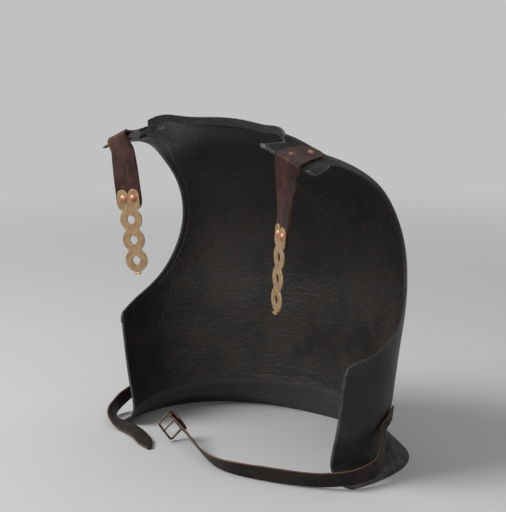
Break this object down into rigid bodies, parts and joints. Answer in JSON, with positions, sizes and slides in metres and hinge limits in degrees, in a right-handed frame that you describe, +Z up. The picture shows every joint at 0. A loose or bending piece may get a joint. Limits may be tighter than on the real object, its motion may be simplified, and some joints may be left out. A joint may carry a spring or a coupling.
{
  "type": "armour backplate",
  "caption": "Raised steel cuirass backplate with leather shoulder straps ending in pierced brass ring plates, and a two-part waist belt with a buckle.",
  "frame": {"origin": "on the standing plane, at the middle of the back's lower edge, halfway through the plate's wall", "axes": "+Z up, the wearer faces -Y, X = 0 is the plate's plane of symmetry; left and right are as seen from the front, -X and +X"},
  "size_m": [0.4015, 0.2481, 0.3913],
  "materials": {
    "plate_steel": "dark browned steel, dull, worn bright along the edges",
    "strap_leather": "worn reddish-brown strap leather",
    "belt_leather": "dark brown belt leather with reddish cut edges",
    "ring_brass": "dull olive-gold brass",
    "copper_rivets": "worn copper-coloured rivet heads",
    "dark_iron": "dull iron rivets and washers",
    "buckle_metal": "dark bronze-brown buckle wire"
  },
  "bodies": {
    "plate": {"backplate": "plate_steel", "left_strap_tab": "strap_leather", "right_strap_tab": "strap_leather", "left_tab_rivets": "copper_rivets", "right_tab_rivets": "copper_rivets", "left_tab_washers": "dark_iron", "right_tab_washers": "dark_iron", "buckle_belt_rivet": "dark_iron", "billet_belt_rivet": "dark_iron", "buckle_belt_washer": "dark_iron", "billet_belt_washer": "dark_iron"},
    "left_strap_body": {"left_strap": "strap_leather", "left_ring_plate": "ring_brass", "left_ring_rivets": "copper_rivets", "left_ring_washers": "dark_iron"},
    "right_strap_body": {"right_strap": "strap_leather", "right_ring_plate": "ring_brass", "right_ring_rivets": "copper_rivets", "right_ring_washers": "dark_iron"},
    "buckle_belt_body": {"buckle_belt": "belt_leather"},
    "billet_belt_body": {"billet_belt": "belt_leather"},
    "buckle_body": {"buckle_frame": "buckle_metal"},
    "prong_body": {"buckle_prong": "buckle_metal"}
  },
  "joints": [
    {"name": "left_strap_swing", "type": "hinge", "parent": "plate", "child": "left_strap_body", "pos_m": [-0.12402, -0.23069, 0.35243], "axis": [-0.9082, 0.1069, -0.4046], "range_deg": [-20, 48]},
    {"name": "right_strap_swing", "type": "hinge", "parent": "plate", "child": "right_strap_body", "pos_m": [0.12352, -0.23079, 0.35263], "axis": [-0.9078, -0.1068, 0.4055], "range_deg": [-20, 48]},
    {"name": "buckle_belt_swing", "type": "hinge", "parent": "plate", "child": "buckle_belt_body", "pos_m": [0.17094, -0.115, 0.0585], "axis": [-0.9247, -0.311, 0.2196], "range_deg": [0, 12]},
    {"name": "billet_belt_swing", "type": "hinge", "parent": "plate", "child": "billet_belt_body", "pos_m": [-0.17094, -0.115, 0.0585], "axis": [-0.9247, 0.311, -0.2196], "range_deg": [0, 40]},
    {"name": "buckle_swing", "type": "hinge", "parent": "buckle_belt_body", "child": "buckle_body", "pos_m": [-0.0786, -0.1926, 0.0264], "axis": [-0.1001, -0.592, 0.7997], "range_deg": [-100, 25]},
    {"name": "prong_swing", "type": "hinge", "parent": "buckle_body", "child": "prong_body", "pos_m": [-0.0786, -0.1926, 0.0264], "axis": [0.1001, 0.592, -0.7997], "range_deg": [0, 90]}
  ]
}
